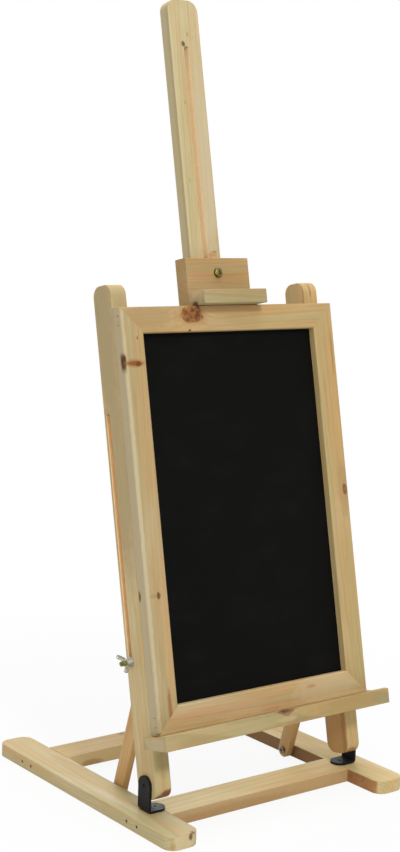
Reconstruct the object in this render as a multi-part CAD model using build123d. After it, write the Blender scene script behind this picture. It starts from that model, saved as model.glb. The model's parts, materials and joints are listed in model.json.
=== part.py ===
from build123d import *
import math
import os

# Chalkboard easel of pine bars with steel hardware, in millimetres.
# +X is to the right of someone who faces the board, +Y goes back, +Z goes up.
# The origin is on the table, at the middle of the base.

# Base: two runners from front to back and two cross rails between them
base_width = 300.0
runner_length = 314.0
runner_width = 36.4
runner_height = 14.0
runner_end_radius = 12.0
rail_width = 37.5
front_rail_setback = 48.0
rear_rail_setback = 45.0

# Hinge of the leaning frame, and the lean that it stands at
hinge_setback = 67.0
hinge_above_runner = 26.2
lean = 11.7

# Uprights
frame_inset = 19.7
upright_length = 494.4
upright_depth = 31.0
upright_thickness = 17.8
upright_end_radius = 11.0
upright_below_hinge = 14.0
hinge_behind_front = 16.4

# Long slots in the uprights, for the bolts of the struts
upright_slot_play = 1.5
upright_slot_from_rear = 7.0
upright_slot_top = 357.0
strut_bolt_height = 117.0

# Struts
strut_width = 16.0
strut_thickness = 7.5
strut_foot_setback = 142.0
strut_above_table = 0.2

# Cross bars between the uprights
crossbar_height = 36.0
crossbar_thickness = 18.0
upper_crossbar_below_top = 53.4
crossbar_spacing = 119.0

# Ledge that the board stands on
ledge_overhang = 11.7
ledge_depth = 37.0
ledge_height = 15.0
ledge_bottom = 37.3
ledge_lip_height = 3.9
ledge_lip_width = 7.0
ledge_shift = 2.0

# Chalkboard
board_overhang = 3.2
board_height = 407.6
board_thickness = 12.6
board_rail_face = 25.5
board_shift = 2.9
panel_recess = 8.4
panel_thickness = 3.0
panel_groove_depth = 5.0
pin_diameter = 1.4
pin_length = 20.0
pin_spacing = 9.0
pin_sunk = 0.4
pin_from_front = 4.2

# Mast
mast_width = 38.0
mast_thickness = 14.0
mast_length = 480.0
mast_top_above_crossbar = 344.8
mast_end_radius = 12.0
mast_slot_play = 1.0
mast_slot_length = 302.0
mast_slot_from_top = 47.8
mast_front_behind_frame_front = 15.8

# Top clamp
clamp_width = 79.0
clamp_height = 48.7
clamp_bolt_above_bottom = 33.7
lip_depth = 25.5
lip_height = 14.0
clamp_proud_of_frame = 1.2
clamp_shift = 0.3

# Steel hinge brackets
bracket_thickness = 2.5
bracket_width = 18.8
bracket_foot_reach = 23.7
bracket_bend_radius = 4.0
bracket_foot_hole_reach = 14.1

# Machine bolts, washers and wing nuts
bolt_diameter = 5.0
bolt_head_diameter = 9.5
bolt_head_height = 3.4
bolt_end_chamfer = 0.6
counterbore_play = 1.2
washer_diameter = 11.0
washer_thickness = 1.0
washer_rounding = 0.3
wing_hub_diameter = 9.6
wing_hub_top_diameter = 8.4
wing_hub_height = 5.0
wing_span = 21.5
wing_height = 10.8
wing_bar_width = 4.4
wing_bar_thickness = 2.2
wing_rounding = 0.66
wing_root_height = 2.9
wing_root_in_hub = 0.8
bolt_end_past_nut = 5.6
left_wing_angle = 48.0
right_wing_angle = 118.0
mast_wing_angle = 20.0
clamp_wing_angle = 75.0

# Wood screws, nails and dowels
screw_diameter = 4.0
screw_head_diameter = 7.6
screw_point_length = 4.8
screw_tip_radius = 0.2
strut_screw_head_height = 2.5
strut_screw_length = 30.0
foot_screw_length = 12.0
hinge_screw_length = 19.0
nail_diameter = 2.6
nail_head_diameter = 3.4
nail_head_thickness = 1.0
nail_point_length = 3.12
nail_length = 62.0
nail_sunk = 1.6
nail_spacing = 17.0
nail_offset = 4.5
dowel_diameter = 8.0
dowel_length = 28.0
dowel_spacing = 18.0
dowel_in_upright = 12.0
ledge_dowel_diameter = 6.0
ledge_dowel_length = 32.0
ledge_dowel_spacing = 9.5

# Eased edges of the wood, and the clearances of what slides, turns or is fastened
edge_ease = 1.0
panel_edge_ease = 1.6
slide_gap = 0.3
face_gap = 0.12
pivot_gap = 0.08
seat_gap = 0.05
slot_end_gap = 0.5

# Cutters run this far past a face, and two places nearer than this are the same one
cutter_overrun = 1.0
same_place = 0.01

# Shares of a head that its rounded rim, its cross recess and the recess's arms take
head_rim_share = 0.55
recess_share = 0.5
recess_arm_share = 0.25

# Places that follow from the sizes above
runner_outer = base_width / 2
runner_inner = runner_outer - runner_width
hinge_y = hinge_setback - runner_length / 2
hinge_z = runner_height + hinge_above_runner
upright_outer = runner_outer - frame_inset
upright_inner = upright_outer - upright_thickness
frame_front = -hinge_behind_front
frame_rear = frame_front + upright_depth
upright_bottom = -upright_below_hinge
upright_top = upright_bottom + upright_length
slot_line = frame_rear - upright_slot_from_rear
upright_slot_width = bolt_diameter + upright_slot_play
slot_low = strut_bolt_height - bolt_diameter / 2 - slot_end_gap
upper_crossbar_level = upright_top - upper_crossbar_below_top
lower_crossbar_level = upper_crossbar_level - crossbar_spacing
ledge_length = 2 * (upright_outer + ledge_overhang)
board_width = 2 * (upright_outer + board_overhang)
mast_top = upper_crossbar_level + mast_top_above_crossbar
mast_slot_width = bolt_diameter + mast_slot_play
mast_front = frame_front + mast_front_behind_frame_front
mast_rear = mast_front + mast_thickness
board_bottom = ledge_bottom + ledge_height - ledge_lip_height
board_top = board_bottom + board_height
board_front = frame_front - board_thickness
clamp_bottom = board_top + slide_gap
clamp_rear = mast_front - slide_gap
clamp_front = frame_front - clamp_proud_of_frame
clamp_bolt_level = clamp_bottom + clamp_bolt_above_bottom
strut_outer = upright_inner - slide_gap
strut_inner = strut_outer - strut_thickness
strut_foot_y = strut_foot_setback - runner_length / 2
strut_foot_height = strut_width / 2 + strut_above_table
front_rail_y = front_rail_setback + rail_width / 2 - runner_length / 2
rear_rail_y = runner_length / 2 - rear_rail_setback - rail_width / 2
crossbar_levels = (upper_crossbar_level, lower_crossbar_level)

# Directions in which the dowels lie
across = (1, 0, 0)
through = (0, 1, 0)

# The leaning frame is built upright about the hinge axis, then leaned back as one
frame_place = Pos(0, hinge_y, hinge_z) * Rot(-lean, 0, 0)


def span_box(x, y, z):
    """A box from three (low, high) pairs."""
    size = [pair[1] - pair[0] for pair in (x, y, z)]
    centre = [(pair[0] + pair[1]) / 2 for pair in (x, y, z)]
    return Pos(*centre) * Box(*size)


def rod(start, direction, length, diameter):
    """A round rod from a start point along a direction."""
    place = Plane(origin=start, z_dir=direction).location
    return place * Cylinder(diameter / 2, length, align=(Align.CENTER, Align.CENTER, Align.MIN))


def eased_bar(x, y, z, along, ease=edge_ease):
    """A sawn bar whose long edges are eased."""
    bar = span_box(x, y, z)
    return fillet(bar.edges().filter_by(along), ease)


def write(node, shape):
    """One file for each named piece."""
    export_step(shape, f"parts/{node}.step")


# Fasteners, built standing on z = 0 with their axis along +Z

hang_down = (Align.CENTER, Align.CENTER, Align.MAX)
stand_up = (Align.CENTER, Align.CENTER, Align.MIN)
recess_overrun = 0.1


def cross_recess(head_diameter, depth):
    """The cutter of a head's cross recess, pointing down from just above z = 0."""
    width = head_diameter * recess_share
    arm = width * recess_arm_share
    cut = Box(width, arm, depth, align=hang_down) + Box(arm, width, depth, align=hang_down)
    return Pos(0, 0, recess_overrun) * cut


def pan_head(diameter, height):
    """A pan head with a rounded rim and a cross recess in its top."""
    head = Cylinder(diameter / 2, height, align=stand_up)
    head = fillet(head.faces().sort_by(Axis.Z)[-1].edges(), height * head_rim_share)
    return head - Pos(0, 0, height) * cross_recess(diameter, height * recess_share)


def pan_bolt(shank_length):
    """A pan head machine bolt whose head seats on z = 0, with its shank below."""
    shank = Cylinder(bolt_diameter / 2, shank_length, align=hang_down)
    shank = chamfer(shank.faces().sort_by(Axis.Z)[0].edges(), bolt_end_chamfer)
    return pan_head(bolt_head_diameter, bolt_head_height) + shank


def pointed_shank(length, diameter, point_length):
    """A plain shank below z = 0 that ends in a point."""
    shank = Cylinder(diameter / 2, length - point_length, align=hang_down)
    tip = Cone(screw_tip_radius, diameter / 2, point_length, align=hang_down)
    return shank + Pos(0, 0, point_length - length) * tip


def countersunk_screw(length, diameter, head_diameter):
    """A countersunk screw whose flat head lies in z = 0, with a cross recess."""
    head_height = (head_diameter - diameter) / 2
    cone = Cone(diameter / 2, head_diameter / 2, head_height, align=hang_down)
    screw = cone + pointed_shank(length, diameter, screw_point_length)
    return screw - cross_recess(head_diameter, head_height)


def countersink(length, diameter, head_diameter, gap):
    """The hole for a countersunk screw, with a gap all round."""
    head_height = (head_diameter - diameter) / 2
    cone = Cone(diameter / 2 + gap, head_diameter / 2 + gap, head_height, align=hang_down)
    hole = Cylinder(diameter / 2 + gap, length, align=hang_down)
    mouth = Cylinder(head_diameter / 2 + gap, cutter_overrun, align=stand_up)
    return cone + hole + mouth


def pan_screw(length, diameter, head_diameter, head_height):
    """A pan head wood screw whose head seats on z = 0."""
    return pan_head(head_diameter, head_height) + pointed_shank(length, diameter, screw_point_length)


def nail(length):
    """A round nail with a small flat head whose top lies in z = 0."""
    head = Cylinder(nail_head_diameter / 2, nail_head_thickness, align=hang_down)
    return head + pointed_shank(length, nail_diameter, nail_point_length)


def nail_hole(length):
    """The hole that a sunk nail leaves."""
    shaft = Cylinder(nail_diameter / 2 + seat_gap, length, align=hang_down)
    head = Cylinder(nail_head_diameter / 2 + seat_gap, nail_head_thickness + seat_gap, align=hang_down)
    mouth = Cylinder(nail_head_diameter / 2 + seat_gap, nail_sunk + cutter_overrun, align=stand_up)
    return shaft + head + mouth


def washer():
    """A flat washer standing on z = 0."""
    disc = Cylinder(washer_diameter / 2, washer_thickness, align=stand_up)
    disc = fillet(disc.faces().sort_by(Axis.Z)[-1].edges(), washer_rounding)
    return disc - Cylinder(bolt_diameter / 2 + pivot_gap, 2 * (washer_thickness + cutter_overrun))


def wing_nut(angle):
    """A wing nut that seats on z = 0, its wings turned by an angle about its axis."""
    nut = Cone(wing_hub_diameter / 2, wing_hub_top_diameter / 2, wing_hub_height, align=stand_up)
    root_x = wing_hub_top_diameter / 2 - wing_root_in_hub
    tip_x = wing_span / 2 - wing_bar_width / 2
    tip_z = wing_height - wing_bar_width / 2
    reach = math.dist((root_x, wing_root_height), (tip_x, tip_z))
    rise = math.degrees(math.atan2(tip_z - wing_root_height, tip_x - root_x))
    for side in (1, -1):
        outline = SlotCenterToCenter(reach, wing_bar_width, rotation=side * rise)
        wing = extrude(Plane.XZ * outline, wing_bar_thickness / 2, both=True)
        faces = wing.faces().sort_by(Axis.Y)
        wing = fillet(faces[0].edges() + faces[-1].edges(), wing_rounding)
        nut += Pos(side * (root_x + tip_x) / 2, 0, (wing_root_height + tip_z) / 2) * wing
    bore = Cylinder(bolt_diameter / 2 + pivot_gap, 2 * (wing_hub_height + cutter_overrun))
    return Rot(0, 0, angle) * (nut - bore)


# Base

def runner(side):
    """A runner with rounded ends, bored for the nails, the foot screw and the screw of the strut."""
    outline = RectangleRounded(runner_width, runner_length, runner_end_radius)
    bar = extrude(Pos(side * (runner_outer - runner_width / 2), 0) * outline, runner_height)
    rims = bar.faces().sort_by(Axis.Z)
    bar = fillet(rims[0].edges() + rims[-1].edges(), edge_ease)
    for place in nail_places(side):
        bar -= place * nail_hole(nail_length)
    bore = screw_diameter + 2 * seat_gap
    bar -= foot_screw_place(side) * rod((0, 0, 0), (0, 0, -1), foot_screw_length + seat_gap, bore)
    return bar - rod(strut_screw_seat(side), (side, 0, 0), strut_screw_length + seat_gap, bore)


def cross_rail(centre_y):
    """A cross rail between the runners, bored for the nails in its ends."""
    depth = (centre_y - rail_width / 2, centre_y + rail_width / 2)
    bar = eased_bar((-runner_inner, runner_inner), depth, (0, runner_height), Axis.X)
    for side in (-1, 1):
        for place in nail_places(side):
            bar -= place * nail_hole(nail_length)
    return bar


def nail_places(side):
    """Where the nails go in, two for each end of each rail."""
    places = []
    for centre_y, outward in ((front_rail_y, -1), (rear_rail_y, 1)):
        for step in (-0.5, 0.5):
            y = centre_y + outward * nail_offset + step * nail_spacing
            seat = (side * (runner_outer - nail_sunk), y, runner_height / 2)
            places.append(Plane(origin=seat, z_dir=(side, 0, 0)).location)
    return places


# Hinge brackets

plate_inner = upright_outer + slide_gap
plate_outer = plate_inner + bracket_thickness


def foot_screw_place(side):
    """The flat head of the screw in a bracket's foot, flush with the foot."""
    x = side * (plate_outer - bracket_foot_hole_reach)
    return Pos(x, hinge_y, runner_height + bracket_thickness)


def hinge_screw_place(side):
    """The flat head of a pivot screw, flush with the outer face of its plate."""
    return Plane(origin=(side * plate_outer, hinge_y, hinge_z), z_dir=(side, 0, 0)).location


def hinge_bracket(side):
    """A bent steel strip: a rounded plate outside the upright and a rounded foot on the runner."""
    radius = bracket_width / 2
    foot_tip = plate_outer - bracket_foot_reach
    plate = span_box((plate_inner, plate_outer), (-radius, radius), (runner_height, hinge_z))
    plate += rod((plate_inner, 0, hinge_z), (1, 0, 0), bracket_thickness, bracket_width)
    foot = span_box((foot_tip + radius, plate_outer), (-radius, radius),
                    (runner_height, runner_height + bracket_thickness))
    foot += rod((foot_tip + radius, 0, runner_height), (0, 0, 1), bracket_thickness, bracket_width)
    strip = plate + foot
    corner = [e for e in strip.edges().filter_by(Axis.Y)
              if e.center().X > plate_outer - same_place and e.center().Z < runner_height + same_place]
    strip = fillet(corner, bracket_bend_radius)
    if side < 0:
        strip = mirror(strip, Plane.YZ)
    strip = Pos(0, hinge_y, 0) * strip
    foot_hole = countersink(foot_screw_length, screw_diameter, screw_head_diameter, seat_gap)
    plate_hole = countersink(hinge_screw_length, screw_diameter, screw_head_diameter, pivot_gap)
    return strip - foot_screw_place(side) * foot_hole - hinge_screw_place(side) * plate_hole


# Leaning frame, in its own upright position

def upright(side):
    """An upright with rounded ends and the long slot for the strut's bolt."""
    centre = (upright_inner, (frame_front + frame_rear) / 2, (upright_bottom + upright_top) / 2)
    face = Plane(origin=centre, x_dir=(0, 1, 0), z_dir=(1, 0, 0))
    outline = RectangleRounded(upright_depth, upright_length, upright_end_radius)
    bar = extrude(face * outline, upright_thickness)
    sides = bar.faces().sort_by(Axis.X)
    bar = fillet(sides[0].edges() + sides[-1].edges(), edge_ease)
    cut_start = upright_inner - cutter_overrun
    cut_length = upright_thickness + 2 * cutter_overrun
    slot_half = upright_slot_width / 2
    ends = (slot_low + slot_half, upright_slot_top - slot_half)
    bar -= span_box((cut_start, cut_start + cut_length), (slot_line - slot_half, slot_line + slot_half), ends)
    for level in ends:
        bar -= rod((cut_start, slot_line, level), (1, 0, 0), cut_length, upright_slot_width)
    bar -= rod((plate_outer, 0, 0), (-1, 0, 0), hinge_screw_length + seat_gap, screw_diameter + 2 * seat_gap)
    if side < 0:
        bar = mirror(bar, Plane.YZ)
    for centre in crossbar_dowel_centres(side):
        bar -= dowel(centre, across, dowel_length, dowel_diameter, seat_gap)
    for centre in ledge_dowel_centres(side):
        bar -= dowel(centre, through, ledge_dowel_length, ledge_dowel_diameter, seat_gap)
    return bar


def dowel(centre, direction, length, diameter, gap=0.0):
    """A round dowel about its centre, or its hole when a gap is given."""
    along = Vector(*direction)
    start = Vector(*centre) - along * (length / 2 + gap)
    return rod(start, direction, length + 2 * gap, diameter + 2 * gap)


def crossbar_dowel_centres(side):
    """Two dowels in each end of each cross bar."""
    x = side * (upright_inner + dowel_in_upright - dowel_length / 2)
    y = frame_front + crossbar_thickness / 2
    return [(x, y, level + step * dowel_spacing) for level in crossbar_levels for step in (-0.5, 0.5)]


def ledge_dowel_centres(side):
    """Two dowels from each upright into the ledge."""
    middle = (upright_inner + upright_outer) / 2
    y = frame_front + dowel_in_upright - ledge_dowel_length / 2
    level = ledge_bottom + (ledge_height - ledge_lip_height) / 2
    return [(side * middle + step * ledge_dowel_spacing, y, level) for step in (-0.5, 0.5)]


def crossbar(level):
    """A cross bar, flush with the fronts of the uprights, with a shallow housing for the mast."""
    depth = (frame_front, frame_front + crossbar_thickness)
    height = (level - crossbar_height / 2, level + crossbar_height / 2)
    bar = eased_bar((-upright_inner, upright_inner), depth, height, Axis.X)
    housing = mast_width / 2 + slide_gap
    bar -= span_box((-housing, housing), (mast_front - slide_gap, mast_front + crossbar_thickness),
                    (level - crossbar_height, level + crossbar_height))
    for side in (-1, 1):
        for centre in crossbar_dowel_centres(side):
            bar -= dowel(centre, across, dowel_length, dowel_diameter, seat_gap)
    return bar


def mast_bolt_seat():
    """The seat of the mast's bolt, sunk below the front of the upper cross bar."""
    return frame_front + bolt_head_height + 2 * seat_gap


def upper_crossbar():
    """The upper cross bar, bored and counterbored for the mast's bolt."""
    bar = crossbar(upper_crossbar_level)
    start = (0, frame_front - cutter_overrun, upper_crossbar_level)
    sunk = mast_bolt_seat() - frame_front + cutter_overrun
    bar -= rod(start, (0, 1, 0), sunk, bolt_head_diameter + counterbore_play)
    return bar - rod(start, (0, 1, 0), crossbar_thickness + 2 * cutter_overrun, bolt_diameter + 2 * seat_gap)


def ledge():
    """The ledge, a bar with a lip left standing along its front edge."""
    ends = (ledge_shift - ledge_length / 2, ledge_shift + ledge_length / 2)
    front = frame_front - ledge_depth
    lip_rear = front + ledge_lip_width
    top = ledge_bottom + ledge_height
    bar = eased_bar(ends, (front, frame_front), (ledge_bottom, top), Axis.X)
    bar -= span_box((ends[0] - cutter_overrun, ends[1] + cutter_overrun),
                    (lip_rear, frame_front + cutter_overrun), (board_bottom, top + cutter_overrun))
    inner_lip = [e for e in bar.edges().filter_by(Axis.X)
                 if abs(e.center().Y - lip_rear) < same_place and e.center().Z > top - same_place]
    bar = fillet(inner_lip, edge_ease)
    for side in (-1, 1):
        for centre in ledge_dowel_centres(side):
            bar -= dowel(centre, through, ledge_dowel_length, ledge_dowel_diameter, seat_gap)
    return bar


# Chalkboard: four mitred rails round a panel in a groove

def board_rail(name):
    """One mitred rail of the board, named by the side that it lies on."""
    half_w = board_width / 2
    half_h = board_height / 2
    in_w = half_w - board_rail_face
    in_h = half_h - board_rail_face
    corners = {
        "top": [(-half_w, half_h), (half_w, half_h), (in_w, in_h), (-in_w, in_h)],
        "bottom": [(half_w, -half_h), (-half_w, -half_h), (-in_w, -in_h), (in_w, -in_h)],
        "left": [(-half_w, -half_h), (-half_w, half_h), (-in_w, in_h), (-in_w, -in_h)],
        "right": [(half_w, half_h), (half_w, -half_h), (in_w, -in_h), (in_w, in_h)],
    }[name]
    centre = Vector(board_shift, board_front, board_bottom + half_h)
    front = Plane(origin=centre, x_dir=(1, 0, 0), z_dir=(0, -1, 0))
    rail = extrude(front * make_face(Polyline(*corners, close=True).edges()), -board_thickness)
    along = Axis.X if name in ("top", "bottom") else Axis.Z
    outer = [e for e in rail.edges().filter_by(along) if not is_inner(e.center() - centre, along)]
    rail = fillet(outer, edge_ease)
    inner_front = [e for e in rail.edges().filter_by(along)
                   if is_inner(e.center() - centre, along) and e.center().Y < board_front + same_place]
    rail = fillet(inner_front, panel_edge_ease)
    rail -= panel_space(panel_groove_depth + slide_gap, slide_gap / 2)
    mouth = pin_sunk + cutter_overrun
    for side in (-1, 1):
        for place in pin_places(side):
            hole = rod((0, 0, mouth), (0, 0, -1), mouth + pin_length + seat_gap, pin_diameter + 2 * seat_gap)
            rail -= place * hole
    return rail


def is_inner(offset, along):
    """Whether a long edge lies on the side of its rail towards the panel."""
    if along == Axis.X:
        return abs(offset.Z) < board_height / 2 - board_rail_face / 2
    return abs(offset.X) < board_width / 2 - board_rail_face / 2


def panel_space(overlap, gap):
    """The black panel when the gap is nothing, or the groove round it."""
    half_w = board_width / 2 - board_rail_face + overlap
    half_h = board_height / 2 - board_rail_face + overlap
    middle = board_bottom + board_height / 2
    front = board_front + panel_recess
    return span_box((board_shift - half_w, board_shift + half_w),
                    (front - gap, front + panel_thickness + gap), (middle - half_h, middle + half_h))


def pin_places(side):
    """The pins driven through the mitres from the two outer sides, two for each corner."""
    places = []
    x = board_shift + side * (board_width / 2 - pin_sunk)
    y = board_front + pin_from_front
    for end in (board_bottom + board_rail_face / 2, board_top - board_rail_face / 2):
        for step in (-0.5, 0.5):
            seat = (x, y, end + step * pin_spacing)
            places.append(Plane(origin=seat, z_dir=(side, 0, 0)).location)
    return places


# Mast and top clamp

def mast():
    """The mast, with rounded ends and a slot down its middle."""
    front = Plane(origin=(0, mast_front, mast_top - mast_length / 2), x_dir=(1, 0, 0), z_dir=(0, -1, 0))
    bar = extrude(front * RectangleRounded(mast_width, mast_length, mast_end_radius), -mast_thickness)
    faces = bar.faces().sort_by(Axis.Y)
    bar = fillet(faces[0].edges() + faces[-1].edges(), edge_ease)
    slot_half = mast_slot_width / 2
    high = mast_top - mast_slot_from_top - slot_half
    low = mast_top - mast_slot_from_top - mast_slot_length + slot_half
    cut_start = mast_front - cutter_overrun
    cut_length = mast_thickness + 2 * cutter_overrun
    bar -= span_box((-slot_half, slot_half), (cut_start, cut_start + cut_length), (low, high))
    for level in (low, high):
        bar -= rod((0, cut_start, level), (0, 1, 0), cut_length, mast_slot_width)
    return bar


def clamp_block():
    """The block of the top clamp, bored for its bolt."""
    half = clamp_width / 2
    block = eased_bar((clamp_shift - half, clamp_shift + half), (clamp_front, clamp_rear),
                      (clamp_bottom, clamp_bottom + clamp_height), Axis.X)
    bore_start = (0, clamp_front - cutter_overrun, clamp_bolt_level)
    bore_length = clamp_rear - clamp_front + 2 * cutter_overrun
    return block - rod(bore_start, (0, 1, 0), bore_length, bolt_diameter + 2 * seat_gap)


def clamp_lip():
    """The lip bar that is glued across the lower front of the block."""
    half = clamp_width / 2
    return eased_bar((clamp_shift - half, clamp_shift + half), (clamp_front - lip_depth, clamp_front),
                     (clamp_bottom, clamp_bottom + lip_height), Axis.X)


# Struts

bolt_at_rest = frame_place * Pos(0, slot_line, strut_bolt_height)
strut_top_y = bolt_at_rest.position.Y
strut_top_z = bolt_at_rest.position.Z
strut_length = math.hypot(strut_top_y - strut_foot_y, strut_top_z - strut_foot_height)
strut_angle = math.degrees(math.atan2(strut_top_z - strut_foot_height, strut_top_y - strut_foot_y))


def strut_screw_seat(side):
    """Where the head of a strut's screw seats, on the strut's inner face."""
    return (side * (strut_inner - face_gap), strut_foot_y, strut_foot_height)


def strut(side):
    """A strut with round ends, bored at the foot and at the top."""
    centre = (strut_inner, (strut_top_y + strut_foot_y) / 2, (strut_top_z + strut_foot_height) / 2)
    face = Plane(origin=centre, x_dir=(0, 1, 0), z_dir=(1, 0, 0))
    bar = extrude(face * SlotCenterToCenter(strut_length, strut_width, rotation=strut_angle), strut_thickness)
    sides = bar.faces().sort_by(Axis.X)
    bar = fillet(sides[0].edges() + sides[-1].edges(), edge_ease)
    cut_start = strut_inner - cutter_overrun
    cut_length = strut_thickness + 2 * cutter_overrun
    foot_bore = screw_diameter + 2 * pivot_gap
    top_bore = bolt_diameter + 2 * seat_gap
    bar -= rod((cut_start, strut_foot_y, strut_foot_height), (1, 0, 0), cut_length, foot_bore)
    bar -= rod((cut_start, strut_top_y, strut_top_z), (1, 0, 0), cut_length, top_bore)
    if side < 0:
        bar = mirror(bar, Plane.YZ)
    return bar


def strut_screw(side):
    """The screw through a strut's foot into the inner side of its runner."""
    place = Plane(origin=strut_screw_seat(side), z_dir=(-side, 0, 0)).location
    return place * pan_screw(strut_screw_length, screw_diameter, screw_head_diameter, strut_screw_head_height)


def strut_bolt_head(side):
    """The head half of a strut's bolt, which ends flush with the strut's outer face."""
    seat = (side * strut_inner, strut_top_y, strut_top_z)
    return Plane(origin=seat, z_dir=(-side, 0, 0)).location * pan_bolt(strut_thickness)


# Threaded half of a strut's bolt with its washer and wing nut, outside the upright

washer_seat = upright_outer + face_gap
nut_seat = washer_seat + washer_thickness + face_gap


def strut_bolt_thread(side):
    """The threaded half of a strut's bolt, through the upright's slot."""
    start = upright_inner + face_gap
    end = nut_seat + wing_hub_height + bolt_end_past_nut
    shank = rod((side * start, slot_line, strut_bolt_height), (side, 0, 0), end - start, bolt_diameter)
    tip = shank.faces().sort_by(Axis.X)[-1 if side > 0 else 0]
    return frame_place * chamfer(tip.edges(), bolt_end_chamfer)


def strut_washer(side):
    """The washer between an upright and its wing nut."""
    seat = (side * washer_seat, slot_line, strut_bolt_height)
    return frame_place * Plane(origin=seat, z_dir=(side, 0, 0)).location * washer()


def strut_wing_nut(side, angle):
    """The wing nut of a strut's bolt, its rear wing raised by an angle."""
    seat = (side * nut_seat, slot_line, strut_bolt_height)
    place = Plane(origin=seat, x_dir=(0, 1, 0), z_dir=(side, 0, 0)).location
    return frame_place * place * wing_nut(side * angle)


# Bolts, washers and wing nuts behind the mast

rear_washer_seat = mast_rear + face_gap
rear_nut_seat = rear_washer_seat + washer_thickness + face_gap
rear_bolt_end = rear_nut_seat + wing_hub_height + bolt_end_past_nut


def rear_bolt(head_seat, level):
    """A bolt from the front, through the mast's slot."""
    place = Plane(origin=(0, head_seat, level), z_dir=(0, -1, 0)).location
    return frame_place * place * pan_bolt(rear_bolt_end - head_seat)


def rear_washer(level):
    """The washer behind the mast."""
    return frame_place * Plane(origin=(0, rear_washer_seat, level), z_dir=(0, 1, 0)).location * washer()


def rear_wing_nut(level, angle):
    """The wing nut behind the mast."""
    place = Plane(origin=(0, rear_nut_seat, level), x_dir=(1, 0, 0), z_dir=(0, 1, 0)).location
    return frame_place * place * wing_nut(angle)


# Write every piece

os.makedirs("parts", exist_ok=True)
wing_angles = {-1: left_wing_angle, 1: right_wing_angle}
foot_screw = countersunk_screw(foot_screw_length, screw_diameter, screw_head_diameter)
hinge_screw = countersunk_screw(hinge_screw_length, screw_diameter, screw_head_diameter)
pin = rod((0, 0, 0), (0, 0, -1), pin_length, pin_diameter)
nails = []
foot_screws = []
hinge_screws = []
strut_screws = []
crossbar_dowels = []
ledge_dowels = []
corner_pins = []

for name, side in (("left", -1), ("right", 1)):
    write(f"{name}_runner", runner(side))
    write(f"{name}_hinge_bracket", hinge_bracket(side))
    write(f"{name}_upright", frame_place * upright(side))
    write(f"{name}_strut", strut(side))
    write(f"{name}_strut_bolt_head", strut_bolt_head(side))
    write(f"{name}_strut_bolt_thread", strut_bolt_thread(side))
    write(f"{name}_strut_washer", strut_washer(side))
    write(f"{name}_strut_wing_nut", strut_wing_nut(side, wing_angles[side]))
    nails += [place * nail(nail_length) for place in nail_places(side)]
    foot_screws.append(foot_screw_place(side) * foot_screw)
    hinge_screws.append(hinge_screw_place(side) * hinge_screw)
    strut_screws.append(strut_screw(side))
    crossbar_dowels += [frame_place * dowel(centre, across, dowel_length, dowel_diameter)
                        for centre in crossbar_dowel_centres(side)]
    ledge_dowels += [frame_place * dowel(centre, through, ledge_dowel_length, ledge_dowel_diameter)
                     for centre in ledge_dowel_centres(side)]
    corner_pins += [frame_place * place * pin for place in pin_places(side)]

write("front_cross_rail", cross_rail(front_rail_y))
write("rear_cross_rail", cross_rail(rear_rail_y))
write("base_nails", Compound(nails))
write("bracket_foot_screws", Compound(foot_screws))
write("hinge_screws", Compound(hinge_screws))
write("strut_foot_screws", Compound(strut_screws))
write("upper_crossbar", frame_place * upper_crossbar())
write("lower_crossbar", frame_place * crossbar(lower_crossbar_level))
write("crossbar_dowels", Compound(crossbar_dowels))
write("ledge", frame_place * ledge())
write("ledge_dowels", Compound(ledge_dowels))

write("board_top_rail", frame_place * board_rail("top"))
write("board_bottom_rail", frame_place * board_rail("bottom"))
write("board_left_stile", frame_place * board_rail("left"))
write("board_right_stile", frame_place * board_rail("right"))
write("chalk_panel", frame_place * panel_space(panel_groove_depth, 0.0))
write("board_corner_pins", Compound(corner_pins))

write("mast", frame_place * mast())
write("mast_bolt", rear_bolt(mast_bolt_seat(), upper_crossbar_level))
write("mast_washer", rear_washer(upper_crossbar_level))
write("mast_wing_nut", rear_wing_nut(upper_crossbar_level, mast_wing_angle))
write("clamp_block", frame_place * clamp_block())
write("clamp_lip", frame_place * clamp_lip())
write("clamp_bolt", rear_bolt(clamp_front, clamp_bolt_level))
write("clamp_washer", rear_washer(clamp_bolt_level))
write("clamp_wing_nut", rear_wing_nut(clamp_bolt_level, clamp_wing_angle))
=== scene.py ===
import json
import math

import bmesh
import bpy
from mathutils import Matrix, Vector


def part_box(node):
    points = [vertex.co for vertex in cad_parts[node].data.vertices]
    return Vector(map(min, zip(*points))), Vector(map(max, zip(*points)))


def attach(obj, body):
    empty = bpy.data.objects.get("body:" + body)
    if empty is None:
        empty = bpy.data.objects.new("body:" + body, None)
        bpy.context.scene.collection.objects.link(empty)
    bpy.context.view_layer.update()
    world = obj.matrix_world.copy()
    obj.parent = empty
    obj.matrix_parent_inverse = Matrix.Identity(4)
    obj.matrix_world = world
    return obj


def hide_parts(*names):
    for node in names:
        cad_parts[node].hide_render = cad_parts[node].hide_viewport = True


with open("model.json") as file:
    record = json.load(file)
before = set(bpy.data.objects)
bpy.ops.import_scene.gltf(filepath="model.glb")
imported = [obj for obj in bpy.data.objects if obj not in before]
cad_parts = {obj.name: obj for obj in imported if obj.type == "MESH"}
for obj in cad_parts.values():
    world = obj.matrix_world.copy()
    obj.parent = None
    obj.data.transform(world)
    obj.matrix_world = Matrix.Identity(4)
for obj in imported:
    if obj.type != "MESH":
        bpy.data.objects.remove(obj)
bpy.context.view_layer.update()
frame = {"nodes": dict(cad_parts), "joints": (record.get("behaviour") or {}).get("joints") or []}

# Base
# Two runners lie front to back and two cross rails are butted between them, all of planed pine.
# Each rail is held by two thin nails at each end, driven through the runners and sunk below the face.
right = Vector((1, 0, 0))
back = Vector((0, 1, 0))
up = Vector((0, 0, 1))
runner_lie = (up, right, back)
rail_lie = (back, up, right)


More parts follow.
